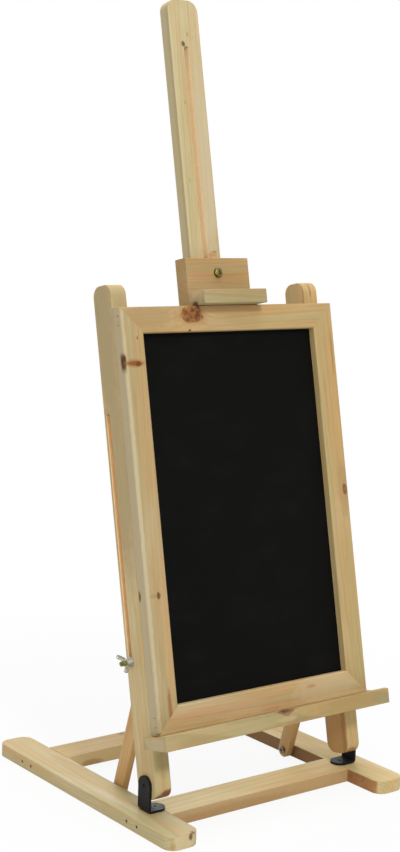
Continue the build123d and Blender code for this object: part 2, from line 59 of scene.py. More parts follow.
def tint(red, green, blue):
    """A colour from a chart, each part from 0 to 255, as linear light."""
    parts = [part / 255 for part in (red, green, blue)]
    return (*[p / 12.92 if p <= 0.04045 else ((p + 0.055) / 1.055) ** 2.4 for p in parts], 1.0)


def plug(tree, source, socket):
    """Links a socket to another, or writes a plain value into it."""
    if isinstance(source, bpy.types.NodeSocket):
        tree.links.new(source, socket)
    else:
        socket.default_value = source


def number(tree, operation, *values):
    """One step of arithmetic on numbers."""
    node = tree.nodes.new("ShaderNodeMath")
    node.operation = operation
    for socket, value in zip(node.inputs, values):
        plug(tree, value, socket)
    return node.outputs[0]


def vector(tree, operation, *values):
    """One step of arithmetic on vectors; lengths and dot products come out as a number."""
    node = tree.nodes.new("ShaderNodeVectorMath")
    node.operation = operation
    for socket, value in zip(node.inputs, values):
        plug(tree, value, socket)
    return node.outputs["Value" if operation in ("LENGTH", "DOT_PRODUCT") else "Vector"]


def fade(tree, value, start, end, low=0.0, high=1.0):
    """A soft change from low to high while a value goes from start to end."""
    node = tree.nodes.new("ShaderNodeMapRange")
    node.interpolation_type = "SMOOTHSTEP"
    for socket, given in zip(node.inputs, (value, start, end, low, high)):
        plug(tree, given, socket)
    return node.outputs[0]


def lay_colour_over(tree, share, under, over):
    """One colour laid over another by a share."""
    node = tree.nodes.new("ShaderNodeMix")
    node.data_type = "RGBA"
    node.clamp_factor = True
    plug(tree, share, node.inputs[0])
    plug(tree, under, node.inputs[6])
    plug(tree, over, node.inputs[7])
    return node.outputs[2]


def grit(tree, place, scale, detail=2.0, rough=0.5):
    """Cloudy noise with so many waves a metre; the second output is coloured, for pushing places about."""
    node = tree.nodes.new("ShaderNodeTexNoise")
    plug(tree, place, node.inputs["Vector"])
    node.inputs["Scale"].default_value = scale
    node.inputs["Detail"].default_value = detail
    node.inputs["Roughness"].default_value = rough
    return node.outputs[0], node.outputs[1]


def finish_sheet(name):
    """A new material with its own shader, and the tree that they are in."""
    material = bpy.data.materials.new(name)
    material.use_nodes = True
    return material, material.node_tree, material.node_tree.nodes["Principled BSDF"]


def object_place(tree):
    """Where a point of the surface is in the model's own frame."""
    return tree.nodes.new("ShaderNodeTexCoord").outputs["Object"]


def relief(tree, shader, height, strength, depth):
    """Fine relief that follows a height, over a depth in metres."""
    bump = tree.nodes.new("ShaderNodeBump")
    bump.inputs["Strength"].default_value = strength
    bump.inputs["Distance"].default_value = depth
    tree.links.new(height, bump.inputs["Height"])
    tree.links.new(bump.outputs["Normal"], shader.inputs["Normal"])


def shifted(tone, shares):
    """A chart colour with each of its parts made stronger or weaker, as linear light."""
    return tint(*[min(255, part * share) for part, share in zip(tone, shares)])


def knot(at, runs, across, along, reach=0.1, core=(120, 66, 34), rim=(66, 38, 24), glow=(188, 112, 62),
         glow_share=0.7):
    """A branch that was cut through: where, which way it ran, its half sizes across and along the grain,
    how deep it goes, and the colours of its heart, of its bark line and of the wood round it."""
    return {"at": at, "runs": runs, "across": across, "along": along, "reach": reach, "core": core,
            "rim": rim, "glow": glow, "glow_share": glow_share}


def stain_or_painted_light(at, sizes, colour, share=0.6, facing=None):
    """A patch of colour, a real stain or painted light and shade: where, its half sizes on the bar's own
    axes, how strong, and on which faces.
    """
    return {"at": at, "sizes": sizes, "colour": colour, "share": share, "facing": facing and tuple(facing)}


def place_on_bar(tree, middle, axes):
    """Places measured from a bar's middle on its own axes, the last along the grain, and how faces look."""
    coords = tree.nodes.new("ShaderNodeTexCoord")
    lay = tree.nodes.new("ShaderNodeMapping")
    lay.vector_type = "TEXTURE"
    lay.inputs["Location"].default_value = middle
    lay.inputs["Rotation"].default_value = axes.transposed().to_euler()
    tree.links.new(coords.outputs["Object"], lay.inputs["Vector"])
    return lay.outputs["Vector"], coords.outputs["Normal"]


def near_knot(tree, place, centre, runs, one):
    """How many knot sizes a place is from the line of a knot, and a share that ends where the knot ends."""
    clumps = 0.55 / one["across"]
    raggedness = 0.9
    fades_from = 0.7
    offset = vector(tree, "SUBTRACT", place, tuple(centre))
    depth = vector(tree, "DOT_PRODUCT", offset, tuple(runs))
    beam = tree.nodes.new("ShaderNodeVectorMath")
    beam.operation = "SCALE"
    beam.inputs[0].default_value = tuple(runs)
    tree.links.new(depth, beam.inputs["Scale"])
    side = vector(tree, "SUBTRACT", offset, beam.outputs["Vector"])
    side = vector(tree, "MULTIPLY", side, (1 / one["across"], 1 / one["across"], 1 / one["along"]))
    ragged = number(tree, "SUBTRACT", grit(tree, place, clumps, 3.0, 0.6)[0], 0.5)
    gap = number(tree, "ADD", vector(tree, "LENGTH", side), number(tree, "MULTIPLY", ragged, raggedness))
    within = fade(tree, number(tree, "ABSOLUTE", depth), one["reach"], one["reach"] * fades_from)
    return gap, within


def late_wood(tree, place, heart, ring, near_knots):
    """The dark edge of each growth ring about the heart of the log; knots push the rings aside."""
    stretch = (1.0, 1.0, 0.12)
    waves_per_metre = 22.0
    wave_height = 0.011
    taper_slope = 0.022
    knot_push = 1.6
    push_starts = 2.6
    push_full = 0.6
    summer_starts = 0.2
    summer_full = 0.86
    winter_starts = 0.92
    weakest_year = 0.2
    waves = grit(tree, vector(tree, "MULTIPLY", place, stretch), waves_per_metre, 2.0)[1]
    sway = vector(tree, "SUBTRACT", waves, (0.5, 0.5, 0.5))
    swayed = vector(tree, "ADD", place, vector(tree, "MULTIPLY", sway, (wave_height, wave_height, 0.0)))
    flat = vector(tree, "MULTIPLY", vector(tree, "SUBTRACT", swayed, (*heart, 0.0)), (1.0, 1.0, 0.0))
    taper = vector(tree, "DOT_PRODUCT", place, (0.0, 0.0, taper_slope))
    age = number(tree, "DIVIDE", number(tree, "ADD", vector(tree, "LENGTH", flat), taper), ring)
    for _, gap, within in near_knots:
        shove = number(tree, "MULTIPLY", fade(tree, gap, push_starts, push_full), within)
        age = number(tree, "ADD", age, number(tree, "MULTIPLY", shove, knot_push))
    season = number(tree, "FRACT", age)
    year = tree.nodes.new("ShaderNodeTexWhiteNoise")
    year.noise_dimensions = "1D"
    tree.links.new(number(tree, "FLOOR", age), year.inputs["W"])
    summer = number(tree, "MULTIPLY", fade(tree, season, summer_starts, summer_full),
                    fade(tree, season, 1.0, winter_starts))
    strength = fade(tree, year.outputs["Value"], 0.0, 1.0, low=weakest_year, high=1.0)
    return number(tree, "MULTIPLY", summer, strength)


def grain(tree, place, tone, late, latewood, show):
    """The wood's colour from its streaks, clouds, rings and threads, and the finest threads alone."""
    thread_stretch = (1.0, 1.0, 0.035)
    cloud_stretch = (1.0, 1.0, 0.3)
    fine_threads = 900.0
    coarse_threads = 260.0
    streaks = 105.0
    clouds = 34.0
    greener = (0.965, 0.985, 0.94)
    warmer = (1.01, 0.95, 0.86)
    paler = (1.045, 1.06, 1.08)
    coarse_shade = (0.8, 0.8, 0.8)
    fine_shade = (0.74, 0.74, 0.74)
    thread = vector(tree, "MULTIPLY", place, thread_stretch)
    fine = grit(tree, thread, fine_threads, 3.0, 0.6)[0]
    coarse = grit(tree, thread, coarse_threads, 3.0, 0.6)[0]
    streak = grit(tree, thread, streaks, 3.0, 0.55)[0]
    cloud = grit(tree, vector(tree, "MULTIPLY", place, cloud_stretch), clouds, 3.0)[0]
    colour = lay_colour_over(tree, fade(tree, streak, 0.38, 0.6), shifted(tone, greener), shifted(tone, warmer))
    colour = lay_colour_over(tree, fade(tree, cloud, 0.45, 0.72, low=0.0, high=0.7), colour, shifted(tone, paler))
    colour = lay_colour_over(tree, number(tree, "MULTIPLY", latewood, show), colour, tint(*late))
    coarse_share = fade(tree, coarse, 0.52, 0.75, low=0.0, high=0.2)
    colour = lay_colour_over(tree, coarse_share, colour, shifted(late, coarse_shade))
    fine_share = fade(tree, fine, 0.35, 0.7, low=0.13, high=0.0)
    return lay_colour_over(tree, fine_share, colour, shifted(late, fine_shade)), fine


def lay_stain_or_painted_light(tree, place, normal, wobble, centre, one, colour):
    """One patch laid over the wood, with a wavering edge: most are stains, and some are painted light and
    shade.
    """
    waver = tuple(size * 0.9 for size in one["sizes"])
    per_size = tuple(1 / size for size in one["sizes"])
    outer_edge = 1.25
    inner_edge = 0.5
    turned_away = 0.75
    turned_towards = 0.93
    offset = vector(tree, "SUBTRACT", place, tuple(centre))
    offset = vector(tree, "ADD", offset, vector(tree, "MULTIPLY", wobble, waver))
    away = vector(tree, "LENGTH", vector(tree, "MULTIPLY", offset, per_size))
    share = fade(tree, away, outer_edge, inner_edge, low=0.0, high=one["share"])
    if one["facing"]:
        looks = number(tree, "ABSOLUTE", vector(tree, "DOT_PRODUCT", normal, one["facing"]))
        share = number(tree, "MULTIPLY", share, fade(tree, looks, turned_away, turned_towards))
    return lay_colour_over(tree, share, colour, tint(*one["colour"]))


def knot_on(tree, place, one, gap, within, colour):
    """A knot laid over the wood, with a warm halo, a mottled heart and a bark line, and its heart's shape."""
    mottles = 1.25 / one["across"]
    heart_share = 0.92
    halo = number(tree, "MULTIPLY", fade(tree, gap, 1.9, 0.7, low=0.0, high=one["glow_share"]), within)
    colour = lay_colour_over(tree, halo, colour, tint(*one["glow"]))
    core = number(tree, "MULTIPLY", fade(tree, gap, 1.15, 0.7), within)
    mottle = grit(tree, place, mottles, 2.5, 0.5)[0]
    heart = lay_colour_over(tree, fade(tree, mottle, 0.43, 0.6), tint(*one["core"]), tint(*one["rim"]))
    colour = lay_colour_over(tree, number(tree, "MULTIPLY", core, heart_share), colour, heart)
    bark = number(tree, "MULTIPLY", fade(tree, gap, 1.16, 0.96), fade(tree, gap, 0.76, 0.94))
    bark = number(tree, "MULTIPLY", bark, fade(tree, mottle, 0.4, 0.6, low=0.1, high=0.7))
    return lay_colour_over(tree, number(tree, "MULTIPLY", bark, within), colour, tint(*one["rim"])), core


def pine(name, node, lie, heart, tone, late=(172, 130, 82), ring=0.0034, show=0.28, knots=(), stains_and_painted_light=()):
    """Planed pine, cut from a log whose heart lies at an offset from the bar, with its rings and marks, some
    of which are painted light and shade.
    """
    end_grain_shade = (0.78, 0.7, 0.56)
    end_grain_share = 0.18
    wobbles_per_metre = 130.0
    fine_height = 0.5
    ring_height = 0.35
    knot_height = 0.5
    material, tree, shader = finish_sheet(name)
    low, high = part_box(node)
    middle = (low + high) / 2
    axes = Matrix(lie)
    place, normal = place_on_bar(tree, middle, axes)

    # Knots push the rings aside, so their distances come first
    near_knots = []
    for one in knots:
        centre = axes @ (Vector(one["at"]) - middle)
        runs = (axes @ Vector(one["runs"])).normalized()
        near_knots.append((one, *near_knot(tree, place, centre, runs, one)))
    latewood = late_wood(tree, place, heart, ring, near_knots)
    colour, fine = grain(tree, place, tone, late, latewood, show)

    # End grain looks darker than the faces
    endwise = number(tree, "ABSOLUTE", vector(tree, "DOT_PRODUCT", normal, tuple(axes[2])))
    end_share = fade(tree, endwise, 0.6, 0.95, low=0.0, high=end_grain_share)
    colour = lay_colour_over(tree, end_share, colour, shifted(tone, end_grain_shade))

    wobble = vector(tree, "SUBTRACT", grit(tree, place, wobbles_per_metre, 3.0)[1], (0.5, 0.5, 0.5))
    for one in stains_and_painted_light:
        colour = lay_stain_or_painted_light(tree, place, normal, wobble, axes @ (Vector(one["at"]) - middle), one, colour)

    height = number(tree, "ADD", number(tree, "MULTIPLY", fine, fine_height),
                    number(tree, "MULTIPLY", latewood, ring_height))
    for one, gap, within in near_knots:
        colour, core = knot_on(tree, place, one, gap, within, colour)
        height = number(tree, "ADD", height, number(tree, "MULTIPLY", core, knot_height))
    relief(tree, shader, height, strength=0.35, depth=0.0003)
    tree.links.new(colour, shader.inputs["Base Color"])
    tree.links.new(fade(tree, fine, 0.3, 0.7, low=0.52, high=0.66), shader.inputs["Roughness"])
    shader.inputs["Specular IOR Level"].default_value = 0.28
    return material


def on_base(x, y, z):
    """A place on the base, in millimetres: across and back from its middle, and up from the table."""
    return Vector((x, y, z)) / 1000


def coat(mesh, material):
    """One finish over a whole mesh."""
    mesh.materials.clear()
    mesh.materials.append(material)


def dress(node, material):
    """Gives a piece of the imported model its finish."""
    coat(frame["nodes"][node].data, material)


dress("left_runner", pine(
    "pine_left_runner", "left_runner", runner_lie, heart=(-0.046, 0.012), tone=(199, 183, 142),
    stains_and_painted_light=[stain_or_painted_light(on_base(-137, -157, 6), (0.012, 0.018, 0.004), (214, 196, 152), 0.7, back),
            stain_or_painted_light(on_base(-126.2, -157.5, 10.8), (0.0042, 0.0026, 0.003), (104, 68, 40), 0.9),
            stain_or_painted_light(on_base(-122.8, -155.2, 13.8), (0.0016, 0.0026, 0.003), (118, 80, 48), 0.8),
            stain_or_painted_light(on_base(-145, -157, 4), (0.004, 0.003, 0.005), (176, 138, 88), 0.6),
            stain_or_painted_light(on_base(-139, -45, 4), (0.02, 0.004, 0.06), (206, 196, 172), 0.5)]))
dress("right_runner", pine(
    "pine_right_runner", "right_runner", runner_lie, heart=(-0.03, -0.03), tone=(218, 195, 146),
    stains_and_painted_light=[stain_or_painted_light(on_base(113.6, -130, 7), (0.03, 0.01, 0.06), (170, 114, 66), 0.85, right),
            # The inner face further back is painted darker: partly the wood's own brown, partly painted shade
            # behind the strut
            stain_or_painted_light(on_base(113.6, 50, 7), (0.03, 0.01, 0.2), (126, 82, 44), 0.85, right)]))
dress("front_cross_rail", pine(
    "pine_front_rail", "front_cross_rail", rail_lie, heart=(0.05, -0.035), tone=(221, 202, 155),
    stains_and_painted_light=[stain_or_painted_light(on_base(0, -109, 7), (0.01, 0.03, 0.5), (186, 152, 104), 0.85, back),
            stain_or_painted_light(on_base(-40, -109, 4), (0.004, 0.006, 0.09), (172, 130, 84), 0.5, back)]))
dress("rear_cross_rail", pine(
    "pine_rear_rail", "rear_cross_rail", rail_lie, heart=(-0.04, -0.04), tone=(202, 172, 116),
    # The rail's front face is painted paler: painted light against the shade it stands in
    stains_and_painted_light=[stain_or_painted_light(on_base(0, 73.5, 9.5), (0.005, 0.03, 0.3), (248, 220, 160), 0.9, back),
            stain_or_painted_light(on_base(-84, 74.5, 3), (0.004, 0.004, 0.014), (198, 140, 88), 0.6),
            stain_or_painted_light(on_base(-24, 107.5, 14), (0.0026, 0.003, 0.005), (110, 80, 50), 0.75)]))

nail_steel, tree, shader = finish_sheet("sunk_nail_steel")
coords = object_place(tree)
dull = grit(tree, coords, 2200.0)[0]
tree.links.new(lay_colour_over(tree, fade(tree, dull, 0.35, 0.65), tint(58, 54, 50), tint(96, 92, 88)),
               shader.inputs["Base Color"])
tree.links.new(fade(tree, dull, 0.3, 0.7, low=0.42, high=0.6), shader.inputs["Roughness"])
shader.inputs["Metallic"].default_value = 0.8
dress("base_nails", nail_steel)

# Hinge brackets
# Two angle brackets of bent steel strip, satin black, with rounded ends.
# A flat head screw holds each foot down on its runner, and another is the pivot of the frame.
satin_black, tree, shader = finish_sheet("satin_black_steel")
coords = object_place(tree)
peel = grit(tree, coords, 1400.0, 2.0)[0]
rubbed = grit(tree, coords, 160.0, 4.0, 0.65)[0]
rubbed_share = fade(tree, rubbed, 0.55, 0.75, low=0.0, high=0.5)
tree.links.new(lay_colour_over(tree, rubbed_share, tint(22, 22, 23), tint(44, 44, 45)),
               shader.inputs["Base Color"])
tree.links.new(fade(tree, rubbed, 0.3, 0.7, low=0.38, high=0.54), shader.inputs["Roughness"])
shader.inputs["Specular IOR Level"].default_value = 0.14
relief(tree, shader, peel, strength=0.25, depth=0.0001)
sharp_angle = math.radians(40)


def ease_edges(node, width):
    """Takes the sharp arris off a steel piece."""
    bevel = frame["nodes"][node].modifiers.new("eased", "BEVEL")
    bevel.width = width
    bevel.segments = 3
    bevel.limit_method = "ANGLE"
    bevel.angle_limit = sharp_angle


for hinge_piece in ("left_hinge_bracket", "right_hinge_bracket"):
    dress(hinge_piece, satin_black)
    ease_edges(hinge_piece, width=0.0004)
for black_screws in ("bracket_foot_screws", "hinge_screws"):
    dress(black_screws, satin_black)
    ease_edges(black_screws, width=0.00012)

# Uprights and cross bars
# Two pine uprights with rounded ends and a long slot near the rear, joined by two dowelled cross bars.
# They turn as one frame on the hinge brackets, and stand leaning back.
joints = {joint["name"]: joint for joint in frame["joints"]}
frame_up = Vector(joints["mast_slide"]["axis"]).normalized()
frame_back = frame_up.cross(right)
hinge_axis = Vector(joints["frame_tilt"]["pos_m"])
upright_lie = (right, frame_back, frame_up)
crossbar_lie = (frame_back, frame_up, right)


def on_frame(x, through, height):
    """A place on the leaning frame, in millimetres from the hinge axis: across, back and up."""
    return hinge_axis + (right * x + frame_back * through + frame_up * height) / 1000


# Where faces of the frame lie, near enough to place a mark on them
upright_front = -17
slot_line = 7.6
left_face = -130.5


dress("left_upright", pine(
    "pine_left_upright", "left_upright", upright_lie, heart=(0.03, 0.05), tone=(205, 185, 140),
    knots=[knot(on_frame(-120, upright_front, 418), frame_back, across=0.0012, along=0.002, reach=0.006,
                core=(150, 110, 70), rim=(110, 74, 44), glow_share=0.2)],
    stains_and_painted_light=[stain_or_painted_light(on_frame(left_face, 9, 455), (0.003, 0.0028, 0.009), (148, 124, 74), 0.7),
            stain_or_painted_light(on_frame(left_face, 10.3, 322), (0.003, 0.0025, 0.006), (150, 122, 74), 0.6),
            stain_or_painted_light(on_frame(-119, upright_front, 23), (0.009, 0.004, 0.017), (150, 132, 84), 0.5),
            # The underside of the rounded foot is painted red-brown: partly end grain, partly painted shade
            # under the rounded end
            stain_or_painted_light(on_frame(-117, -15, -9), (0.007, 0.005, 0.0045), (118, 58, 30), 0.9),
            stain_or_painted_light(on_frame(-124, -13, -11.5), (0.008, 0.005, 0.003), (130, 72, 40), 0.8),
            stain_or_painted_light(on_frame(-121, -14, 487), (0.006, 0.006, 0.004), (176, 132, 84), 0.6),
            stain_or_painted_light(on_frame(left_face, 0, 430), (0.004, 0.02, 0.09), (170, 150, 110), 0.85, right),
            stain_or_painted_light(on_frame(left_face, -4, 290), (0.004, 0.022, 0.1), (172, 151, 111), 0.75, right),
            stain_or_painted_light(on_frame(-121, upright_front, 480), (0.014, 0.004, 0.04), (178, 159, 117), 0.8),
            # The slot's walls are painted near white: painted light against the shade deep in the slot
            stain_or_painted_light(on_frame(-121, slot_line, 235), (0.05, 0.006, 0.4), (250, 214, 164), 1.0, frame_back)]))
dress("right_upright", pine(
    "pine_right_upright", "right_upright", upright_lie, heart=(-0.02, -0.045), tone=(206, 180, 132),
    # The slot's walls are painted near white: painted light against the shade deep in the slot
    stains_and_painted_light=[stain_or_painted_light(on_frame(121, slot_line, 235), (0.05, 0.006, 0.4), (250, 214, 164), 1.0, frame_back),
            stain_or_painted_light(on_frame(112.5, -14, 10), (0.0016, 0.004, 0.06), (116, 66, 36), 0.8),
            stain_or_painted_light(on_frame(112, 0, 20), (0.003, 0.03, 0.12), (172, 128, 74), 0.7),
            # The underside of the rounded foot is painted red-brown: partly end grain, partly painted shade
            # under the rounded end
            stain_or_painted_light(on_frame(122, -14, -12), (0.009, 0.006, 0.004), (150, 92, 54), 0.7),
            stain_or_painted_light(on_frame(121, -16, 473), (0.0012, 0.01, 0.012), (140, 92, 58), 0.6)]))
dress("upper_crossbar", pine(
    "pine_upper_crossbar", "upper_crossbar", crossbar_lie, heart=(0.04, 0.03), tone=(206, 182, 136)))
dress("lower_crossbar", pine(
    "pine_lower_crossbar", "lower_crossbar", crossbar_lie, heart=(-0.05, 0.02), tone=(202, 176, 128)))

beech, tree, shader = finish_sheet("beech_dowel")
coords = object_place(tree)
ray_stretch = (0.08, 1.0, 1.0)
rays = grit(tree, vector(tree, "MULTIPLY", coords, ray_stretch), 700.0, 3.0)[0]
tree.links.new(lay_colour_over(tree, fade(tree, rays, 0.35, 0.65), tint(206, 172, 130), tint(176, 136, 96)),
               shader.inputs["Base Color"])
tree.links.new(fade(tree, rays, 0.3, 0.7, low=0.5, high=0.62), shader.inputs["Roughness"])
dress("crossbar_dowels", beech)
dress("ledge_dowels", beech)

# Ledge
# One bar of pine, rebated so that a low lip is left along its front, dowelled to the fronts of the uprights.
# Bark once ran along its front arris, and a small wane is left open there.
ledge_front = -53
# The wane reaches this far to each side, into the lip and up and down, and its lower tip is a little aside
wane_at = on_frame(6.8, -53.4, 52.3)
wane_left = 0.0128
wane_right = 0.0125
wane_depth = 0.0052
wane_drop = 0.0068
wane_lean = 0.001
wane_facing = (frame_up - frame_back).normalized()


def put_in_scene(name, data):
    """A new object in the scene."""
    made = bpy.data.objects.new(name, data)
    bpy.context.scene.collection.objects.link(made)
    return made


def copy_of(node, name):
    """A new piece with a copy of a node's mesh, to be worked on."""
    return put_in_scene(name, frame["nodes"][node].data.copy())


def cut_away(piece, points, faces):
    """Cuts a small solid, given by its corners, out of a piece for good."""
    mesh = bpy.data.meshes.new("cutter")
    mesh.from_pydata(points, [], faces)
    cutter = put_in_scene("cutter", mesh)
    tool = piece.modifiers.new("cut", "BOOLEAN")
    tool.object = cutter
    tool.operation = "DIFFERENCE"
    tool.solver = "EXACT"
    bpy.context.view_layer.update()
    made = bpy.data.meshes.new_from_object(piece.evaluated_get(bpy.context.evaluated_depsgraph_get()))
    piece.modifiers.clear()
    piece.data = made
    bpy.data.objects.remove(cutter)


ledge = copy_of("ledge", "ledge_with_wane")
wane_corners = [wane_at - right * wane_left, wane_at + right * wane_right,
                wane_at - frame_back * wane_depth, wane_at + frame_back * wane_depth,
                wane_at - frame_up * wane_drop + right * wane_lean, wane_at + frame_up * wane_drop]
wane_faces = [(0, 4, 2), (2, 4, 1), (1, 4, 3), (3, 4, 0), (2, 5, 0), (1, 5, 2), (3, 5, 1), (0, 5, 3)]
cut_away(ledge, wane_corners, wane_faces)
coat(ledge.data, pine(
    "pine_ledge", "ledge", crossbar_lie, heart=(0.055, -0.012), tone=(186, 163, 118), late=(146, 126, 80),
    ring=0.0042, show=0.52,
    stains_and_painted_light=[stain_or_painted_light(wane_at - frame_up * 0.0085, (0.004, 0.003, 0.013), (206, 174, 118), 0.55),
            stain_or_painted_light(wane_at, (0.012, 0.012, 0.0145), (124, 80, 44), 0.97, wane_facing),
            stain_or_painted_light(wane_at + frame_back * 0.0036, (0.0026, 0.004, 0.009), (86, 50, 26), 0.85, wane_facing),
            stain_or_painted_light(on_frame(-140, -35, 45), (0.02, 0.012, 0.004), (190, 174, 136), 0.75, right),
            stain_or_painted_light(on_frame(-131.6, -25, 48.4), (0.006, 0.003, 0.0022), (84, 56, 34), 0.9),
            stain_or_painted_light(on_frame(95, ledge_front, 45), (0.006, 0.01, 0.05), (164, 138, 86), 0.65),
            stain_or_painted_light(on_frame(-30, ledge_front, 45), (0.006, 0.007, 0.06), (176, 168, 124), 0.4),
            stain_or_painted_light(on_frame(136, ledge_front, 44), (0.006, 0.008, 0.016), (150, 142, 102), 0.7)]))
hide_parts("ledge")
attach(ledge, "frame")

# Chalkboard
# Four mitred pine rails hold a thin black panel in a groove; thin pins cross the mitres from the sides.
# It stands on the ledge on its own, and the top clamp keeps it there.
board_front = -29
dress("board_top_rail", pine(
    "pine_board_top", "board_top_rail", crossbar_lie, heart=(0.03, 0.05), tone=(193, 167, 121),
    knots=[knot(on_frame(-46, board_front, 447.5), frame_back, across=0.0082, along=0.0135, reach=0.009,
                core=(150, 94, 44), rim=(86, 46, 20), glow=(174, 124, 70), glow_share=0.7),
           knot(on_frame(-50, board_front, 431.8), frame_back, across=0.0011, along=0.0016,
                core=(110, 70, 40), rim=(70, 40, 26), glow_share=0.3)],
    # Painted shade: a near-black spot where the lip's left end meets the rail, for the shadowed gap and dent
    # there
    stains_and_painted_light=[stain_or_painted_light(on_frame(-39.2, board_front, 455.4), (0.006, 0.003, 0.0036), (44, 27, 18), 0.97),
            stain_or_painted_light(on_frame(-37.5, board_front, 452), (0.004, 0.004, 0.0026), (96, 52, 24), 0.7),
            stain_or_painted_light(on_frame(-100, board_front, 446), (0.01, 0.014, 0.04), (168, 140, 94), 0.7)]))
dress("board_bottom_rail", pine(
    "pine_board_bottom", "board_bottom_rail", crossbar_lie, heart=(0.03, -0.06), tone=(200, 176, 134),
    stains_and_painted_light=[stain_or_painted_light(on_frame(-60, board_front, 62), (0.01, 0.006, 0.07), (202, 152, 104), 0.4),
            stain_or_painted_light(on_frame(40, board_front, 54), (0.01, 0.005, 0.07), (204, 150, 102), 0.35),
            stain_or_painted_light(on_frame(85, board_front, 62), (0.01, 0.02, 0.05), (208, 186, 144), 0.6),
            stain_or_painted_light(on_frame(62, board_front, 66), (0.004, 0.0022, 0.007), (184, 136, 88), 0.7),
            stain_or_painted_light(on_frame(8, board_front, 52), (0.004, 0.0014, 0.014), (182, 138, 90), 0.6)]))
dress("board_left_stile", pine(
    "pine_board_left", "board_left_stile", upright_lie, heart=(0.05, 0.03), tone=(186, 167, 128),
    knots=[knot(on_frame(-116, board_front, 179.8), frame_back, across=0.0019, along=0.0032, reach=0.006,
                core=(116, 78, 36), rim=(92, 60, 26), glow=(168, 132, 86), glow_share=0.5),
           knot(on_frame(-113, board_front, 426), frame_back, across=0.0009, along=0.0014,
                core=(130, 104, 66), rim=(110, 84, 52), glow_share=0.2)],
    stains_and_painted_light=[stain_or_painted_light(on_frame(left_face, -23, 250), (0.0012, 0.012, 0.3), (184, 168, 136), 0.75),
            # A pale band along the front-left arris: partly paler wood, partly a painted highlight on the
            # eased edge
            stain_or_painted_light(on_frame(-128, -29.5, 250), (0.0022, 0.003, 0.3), (206, 194, 160), 0.6),
            stain_or_painted_light(on_frame(-111, board_front, 130), (0.004, 0.004, 0.09), (204, 158, 108), 0.5),
            stain_or_painted_light(on_frame(-120, board_front, 180), (0.007, 0.003, 0.0022), (158, 128, 84), 0.5),
            stain_or_painted_light(on_frame(left_face, -18.2, 180.5), (0.003, 0.0026, 0.006), (92, 66, 32), 0.9),
            stain_or_painted_light(on_frame(-114.4, board_front, 70), (0.0024, 0.004, 0.024), (152, 100, 54), 0.8),
            stain_or_painted_light(on_frame(-126, -28, 50), (0.006, 0.006, 0.0022), (84, 56, 36), 0.8),
            stain_or_painted_light(on_frame(-130.3, -27.4, 403), (0.003, 0.0052, 0.0102), (122, 80, 44), 0.8),
            stain_or_painted_light(on_frame(-130.3, -27.6, 403), (0.0026, 0.0048, 0.0086), (76, 38, 14), 0.97),
            stain_or_painted_light(on_frame(-119, board_front, 402), (0.0115, 0.004, 0.0042), (162, 118, 68), 0.75),
            stain_or_painted_light(on_frame(-118, board_front, 402), (0.0095, 0.003, 0.0024), (128, 76, 34), 0.9),
            stain_or_painted_light(on_frame(-114.6, board_front, 401), (0.0036, 0.003, 0.0026), (108, 54, 22), 0.9)]))
dress("board_right_stile", pine(
    "pine_board_right", "board_right_stile", upright_lie, heart=(-0.035, 0.04), tone=(193, 169, 122),
    knots=[knot(on_frame(132, board_front, 260.5), frame_back, across=0.0027, along=0.0058,
                core=(146, 102, 58), rim=(112, 72, 40), glow=(170, 128, 80), glow_share=0.6)],
    stains_and_painted_light=[stain_or_painted_light(on_frame(130, board_front, 261), (0.009, 0.004, 0.03), (172, 140, 94), 0.7),
            stain_or_painted_light(on_frame(132, board_front, 404), (0.0012, 0.003, 0.028), (150, 104, 64), 0.55)]))
dress("board_corner_pins", nail_steel)

chalk_black, tree, shader = finish_sheet("chalkboard_black")
coords = object_place(tree)
dust = grit(tree, coords, 18.0, 5.0, 0.6)[0]
tooth = grit(tree, coords, 1800.0, 2.0)[0]
wipe_stretch = (0.25, 1.0, 1.0)
wiped = grit(tree, vector(tree, "MULTIPLY", coords, wipe_stretch), 60.0, 4.0, 0.6)[0]
film = number(tree, "MULTIPLY", fade(tree, dust, 0.42, 0.75), fade(tree, wiped, 0.35, 0.7))
tree.links.new(lay_colour_over(tree, number(tree, "MULTIPLY", film, 0.5), tint(11, 11, 10), tint(24, 24, 23)),
               shader.inputs["Base Color"])
tree.links.new(fade(tree, tooth, 0.3, 0.7, low=0.68, high=0.86), shader.inputs["Roughness"])
shader.inputs["Specular IOR Level"].default_value = 0.06
relief(tree, shader, tooth, strength=0.3, depth=0.0001)
dress("chalk_panel", chalk_black)

